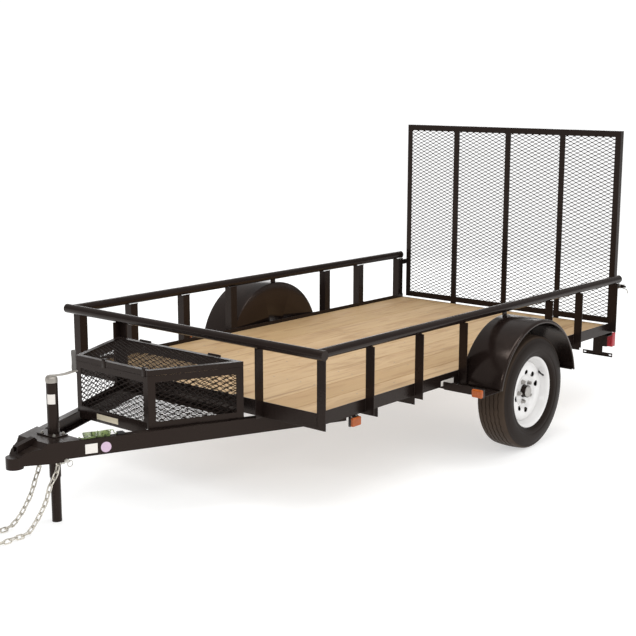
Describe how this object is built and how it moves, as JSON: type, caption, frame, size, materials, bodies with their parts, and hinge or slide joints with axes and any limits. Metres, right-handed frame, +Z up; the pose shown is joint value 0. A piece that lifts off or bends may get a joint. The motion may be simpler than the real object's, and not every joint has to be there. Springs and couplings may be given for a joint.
{
  "type": "utility trailer",
  "caption": "Single-axle open utility trailer with plank bed, pipe top rail, folding mesh ramp gate, mesh basket on an A-frame tongue, screw jack and ball coupler.",
  "frame": {"origin": "on the ground, in the middle of the overall length and width, the trailer parked level on its wheels and jack", "axes": "+X forward to the coupler, +Y to the left wheel, +Z up"},
  "size_m": [4.2579, 2.172, 1.666],
  "materials": {
    "black_steel": "gloss black paint",
    "black_pipe": "gloss black paint",
    "wheel_paint": "gloss white paint",
    "hub_paint": "semi-gloss black",
    "tyre": "black rubber",
    "plank": "sawn pine, treated",
    "zinc": "zinc plated",
    "expanded_metal": "satin black paint",
    "red_lens": "clear red moulding",
    "amber_lens": "clear amber moulding",
    "crank_grip": "grey moulding",
    "lead": "green and black flat lead",
    "black_plastic": "black moulding"
  },
  "bodies": {
    "trailer": {"side_rail_left": "black_steel", "side_rail_right": "black_steel", "front_rail": "black_steel", "rear_rail": "black_steel", "crossmembers": "black_steel", "deck_planks": "plank", "posts_left": "black_steel", "posts_right": "black_steel", "posts_front": "black_steel", "top_rail": "black_pipe", "tongue_left": "black_steel", "tongue_right": "black_steel", "coupler": "black_steel", "coupler_latch": "black_steel", "jack_tube": "black_steel", "jack_crank": "zinc", "axle_beam": "black_steel", "leaf_springs": "black_steel", "spring_hangers": "black_steel", "fender_left": "black_steel", "fender_right": "black_steel", "fender_brackets": "black_steel", "tail_lamp_plates": "black_steel", "tail_lamps": "red_lens", "marker_lamps": "amber_lens", "marker_plates": "black_steel", "plate_bracket": "black_steel", "gate_hinges": "black_steel", "gate_latches": "black_steel", "basket_frame": "black_steel", "basket_mesh": "expanded_metal", "lid_hinges": "black_steel", "chain_left": "zinc", "chain_right": "zinc", "harness_hank": "lead", "harness_plug": "black_plastic"},
    "wheel_left": {"rim_left": "wheel_paint", "tyre_left": "tyre", "hub_left": "hub_paint"},
    "wheel_right": {"rim_right": "wheel_paint", "tyre_right": "tyre", "hub_right": "hub_paint"},
    "gate": {"gate_frame": "black_steel", "gate_mesh": "expanded_metal"},
    "basket_lid": {"lid_frame": "black_steel", "lid_mesh": "expanded_metal"},
    "jack_foot": {"jack_leg": "black_steel"}
  },
  "joints": [
    {"name": "wheel_left_spin", "type": "hinge", "parent": "trailer", "child": "wheel_left", "pos_m": [-0.733, 0.968, 0.309], "axis": [0, 1, 0], "continuous": true},
    {"name": "wheel_right_spin", "type": "hinge", "parent": "trailer", "child": "wheel_right", "pos_m": [-0.733, -0.968, 0.309], "axis": [0, 1, 0], "continuous": true},
    {"name": "gate_hinge", "type": "hinge", "parent": "trailer", "child": "gate", "pos_m": [-2.109, 0, 0.424], "axis": [0, -1, 0], "range_deg": [0, 110]},
    {"name": "lid_hinge", "type": "hinge", "parent": "trailer", "child": "basket_lid", "pos_m": [0.859, 0, 0.6655], "axis": [0, -1, 0], "range_deg": [0, 94]},
    {"name": "jack_slide", "type": "slide", "parent": "trailer", "child": "jack_foot", "axis": [0, 0, 1], "range_m": [-0.06, 0.19]}
  ]
}
